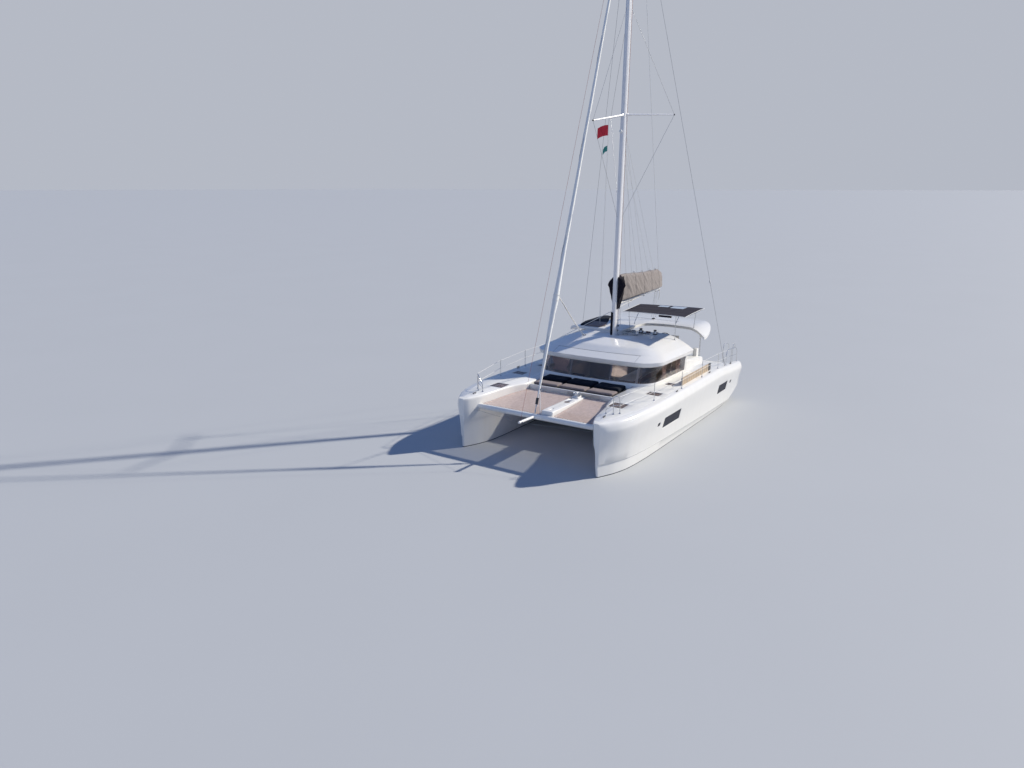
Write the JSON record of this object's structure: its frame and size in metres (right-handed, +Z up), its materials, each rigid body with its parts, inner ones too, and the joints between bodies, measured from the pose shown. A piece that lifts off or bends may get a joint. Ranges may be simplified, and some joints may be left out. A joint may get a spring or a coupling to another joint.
{
  "type": "sailing catamaran",
  "caption": "Cruising sailing catamaran afloat: hulls, deckhouse, cockpit, rig with stowed sails; boom, furler, steering, propellers, door and hatches move.",
  "frame": {"origin": "on the centre line at the waterline, midway between the stems and the sterns", "axes": "+X to port, +Y aft, +Z up"},
  "size_m": [7.68, 13.1815, 23.15],
  "materials": {
    "gelcoat": "glossy white gelcoat",
    "antifoul": "matt antifouling",
    "glass": "dark tinted",
    "lid": "smoked acrylic",
    "alloy": "anodised",
    "white_alloy": "white enamel",
    "steel": "polished stainless",
    "bronze": "cast bronze",
    "plastic": "moulded",
    "cushion": "woven cover",
    "bag": "acrylic canvas",
    "canopy": "acrylic canvas",
    "netting": "knotless net",
    "sailcloth": "sailcloth",
    "wood": "oiled"
  },
  "bodies": {
    "root": {"aft_bulkhead": "gelcoat", "bimini_frame": "steel", "bimini_panel": "canopy", "bowsprit": "white_alloy", "bridgedeck": "gelcoat", "bulkhead_window_port": "glass", "bulkhead_window_starboard": "glass", "catwalk": "gelcoat", "coachroof": "gelcoat", "cockpit_bench": "cushion", "cockpit_table": "wood", "crossbeam": "white_alloy", "deckhouse_frame": "gelcoat", "forestay": "steel", "forestay_foot": "steel", "gangplank": "wood", "guard_rail_port": "steel", "guard_rail_starboard": "steel", "hardtop": "gelcoat", "hardtop_frame": "steel", "helm_seat": "cushion", "helm_station": "gelcoat", "hull_port": "gelcoat", "hull_starboard": "gelcoat", "keel_port": "antifoul", "keel_starboard": "antifoul", "lounge_cushions": "cushion", "mast": "alloy", "roof_pad": "cushion", "saildrive_port": "plastic", "saildrive_starboard": "plastic", "saloon_galley": "wood", "saloon_settee": "cushion", "shroud_port": "steel", "shroud_starboard": "steel", "spreader_forward": "alloy", "spreader_port": "alloy", "spreader_starboard": "alloy", "trampoline_port": "netting", "trampoline_starboard": "netting", "windlass": "steel", "window_front": "glass", "window_port": "glass", "window_starboard": "glass"},
    "boom": {"boom": "white_alloy", "sail_bag": "bag"},
    "furler": {"headsail_roll": "sailcloth", "furler_drum": "plastic"},
    "wheel": {"steering_wheel": "steel"},
    "saloon_door": {"sliding_door": "glass"},
    "rudder_port": {"rudder_port": "antifoul"},
    "propeller_port": {"propeller_port": "bronze"},
    "hatch_fore_port": {"hatch_fore_port": "lid"},
    "hatch_mid_port": {"hatch_mid_port": "lid"},
    "hatch_aft_port": {"hatch_aft_port": "lid"},
    "rudder_starboard": {"rudder_starboard": "antifoul"},
    "propeller_starboard": {"propeller_starboard": "bronze"},
    "hatch_fore_starboard": {"hatch_fore_starboard": "lid"},
    "hatch_mid_starboard": {"hatch_mid_starboard": "lid"},
    "hatch_aft_starboard": {"hatch_aft_starboard": "lid"}
  },
  "joints": [
    {"name": "boom_swing", "type": "hinge", "parent": "root", "child": "boom", "pos_m": [0, 0.83, 4.85], "axis": [0, 0, 1], "range_deg": [-38, 38]},
    {"name": "furler_turn", "type": "hinge", "parent": "root", "child": "furler", "pos_m": [0, -5.72, 1.67], "axis": [0, 0.3202, 0.9473], "continuous": true},
    {"name": "steering", "type": "hinge", "parent": "root", "child": "wheel", "pos_m": [1.5, 2.42, 3.13], "axis": [0, 1, 0], "range_deg": [-420, 420]},
    {"name": "rudder_turn_port", "type": "hinge", "parent": "root", "child": "rudder_port", "pos_m": [2.93, 4.72, -0.215], "axis": [0, 0, 1], "range_deg": [-35, 35]},
    {"name": "propeller_spin_port", "type": "hinge", "parent": "root", "child": "propeller_port", "pos_m": [2.925, 3.56, -0.76], "axis": [0, 1, 0], "continuous": true},
    {"name": "rudder_turn_starboard", "type": "hinge", "parent": "root", "child": "rudder_starboard", "pos_m": [-2.93, 4.72, -0.215], "axis": [0, 0, 1], "range_deg": [-35, 35]},
    {"name": "propeller_spin_starboard", "type": "hinge", "parent": "root", "child": "propeller_starboard", "pos_m": [-2.925, 3.56, -0.76], "axis": [0, 1, 0], "continuous": true},
    {"name": "door_slide", "type": "slide", "parent": "root", "child": "saloon_door", "axis": [-1, 0, 0], "range_m": [0, 0.85]},
    {"name": "hatch_fore_port_lift", "type": "hinge", "parent": "root", "child": "hatch_fore_port", "pos_m": [2.58, -4.51, 2.0243], "axis": [1, 0, 0], "range_deg": [0, 90]},
    {"name": "hatch_mid_port_lift", "type": "hinge", "parent": "root", "child": "hatch_mid_port", "pos_m": [3.02, -2.3, 2.0243], "axis": [1, 0, 0], "range_deg": [0, 90]},
    {"name": "hatch_aft_port_lift", "type": "hinge", "parent": "root", "child": "hatch_aft_port", "pos_m": [2.96, -0.525, 2.0243], "axis": [1, 0, 0], "range_deg": [0, 90]},
    {"name": "hatch_fore_starboard_lift", "type": "hinge", "parent": "root", "child": "hatch_fore_starboard", "pos_m": [-2.58, -4.51, 2.0243], "axis": [1, 0, 0], "range_deg": [0, 90]},
    {"name": "hatch_mid_starboard_lift", "type": "hinge", "parent": "root", "child": "hatch_mid_starboard", "pos_m": [-3.02, -2.3, 2.0243], "axis": [1, 0, 0], "range_deg": [0, 90]},
    {"name": "hatch_aft_starboard_lift", "type": "hinge", "parent": "root", "child": "hatch_aft_starboard", "pos_m": [-2.96, -0.525, 2.0243], "axis": [1, 0, 0], "range_deg": [0, 90]}
  ],
  "couplings": [
    {"joint": "rudder_turn_port", "follows": "steering", "ratio": -0.083333},
    {"joint": "rudder_turn_starboard", "follows": "steering", "ratio": -0.083333}
  ]
}
